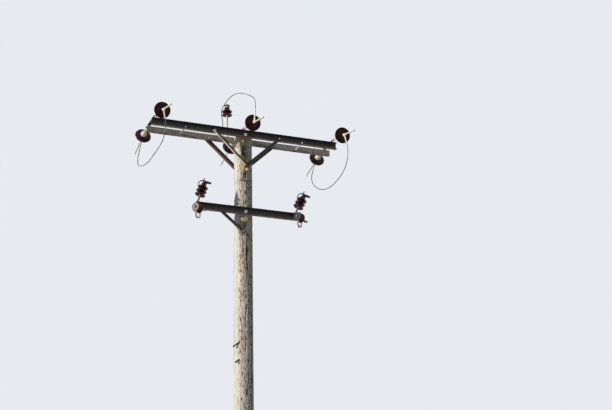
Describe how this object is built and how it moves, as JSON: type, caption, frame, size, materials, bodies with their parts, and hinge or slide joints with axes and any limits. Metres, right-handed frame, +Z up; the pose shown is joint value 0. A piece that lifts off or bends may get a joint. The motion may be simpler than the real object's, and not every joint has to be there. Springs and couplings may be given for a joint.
{
  "type": "utility pole",
  "caption": "Tall tapered wooden utility pole with a double steel crossarm on V braces, strain insulator strings with jumpers, a riser insulator and a single lower arm with posts and spools.",
  "frame": {"origin": "centre of the pole's foot, on the ground", "axes": "+Z up along the pole, +X along the crossarms, -Y towards the front, where the lower arm is"},
  "size_m": [2.833, 1.8507, 10.4134],
  "materials": {
    "weathered_wood": "matt, bleached and checked",
    "weathered_steel": "dull galvanised with rust",
    "bright_galvanised_iron": "pale galvanised",
    "brown_porcelain": "dark brown glaze",
    "clamp_aluminium": "satin",
    "wire_aluminium": "weathered strands"
  },
  "bodies": {
    "root": {"back_brace_bolts": "bright_galvanised_iron", "back_channel": "weathered_steel", "back_left_brace": "weathered_steel", "back_left_clamp": "clamp_aluminium", "back_left_discs": "brown_porcelain", "back_left_ironwork": "bright_galvanised_iron", "back_middle_clamp": "clamp_aluminium", "back_middle_discs": "brown_porcelain", "back_middle_ironwork": "bright_galvanised_iron", "back_right_brace": "weathered_steel", "back_right_clamp": "clamp_aluminium", "back_right_discs": "brown_porcelain", "back_right_ironwork": "bright_galvanised_iron", "brace_bolt": "bright_galvanised_iron", "crossarm_bolt": "bright_galvanised_iron", "front_brace_bolts": "bright_galvanised_iron", "front_channel": "weathered_steel", "front_left_brace": "weathered_steel", "front_left_clamp": "clamp_aluminium", "front_left_discs": "brown_porcelain", "front_left_ironwork": "bright_galvanised_iron", "front_middle_clamp": "clamp_aluminium", "front_middle_discs": "brown_porcelain", "front_middle_ironwork": "bright_galvanised_iron", "front_right_brace": "weathered_steel", "front_right_clamp": "clamp_aluminium", "front_right_discs": "brown_porcelain", "front_right_ironwork": "bright_galvanised_iron", "left_bow": "bright_galvanised_iron", "left_end_plate": "bright_galvanised_iron", "left_jumper": "wire_aluminium", "left_post_clamp": "bright_galvanised_iron", "left_post_insulator": "brown_porcelain", "left_post_pin": "bright_galvanised_iron", "left_spacer_rod": "bright_galvanised_iron", "left_spool": "brown_porcelain", "left_spool_bracket": "bright_galvanised_iron", "left_tie_strap": "bright_galvanised_iron", "lower_arm": "weathered_steel", "lower_arm_bolt": "bright_galvanised_iron", "lower_brace": "weathered_steel", "lower_brace_bolt": "bright_galvanised_iron", "middle_jumper": "wire_aluminium", "middle_tie_strap": "bright_galvanised_iron", "pole": "weathered_wood", "right_bow": "bright_galvanised_iron", "right_end_plate": "bright_galvanised_iron", "right_jumper": "wire_aluminium", "right_post_clamp": "bright_galvanised_iron", "right_post_insulator": "brown_porcelain", "right_post_pin": "bright_galvanised_iron", "right_spacer_rod": "bright_galvanised_iron", "right_spool": "brown_porcelain", "right_spool_bracket": "bright_galvanised_iron", "right_tie_strap": "bright_galvanised_iron", "riser_insulator": "brown_porcelain", "riser_pin": "bright_galvanised_iron"}
  },
  "joints": []
}
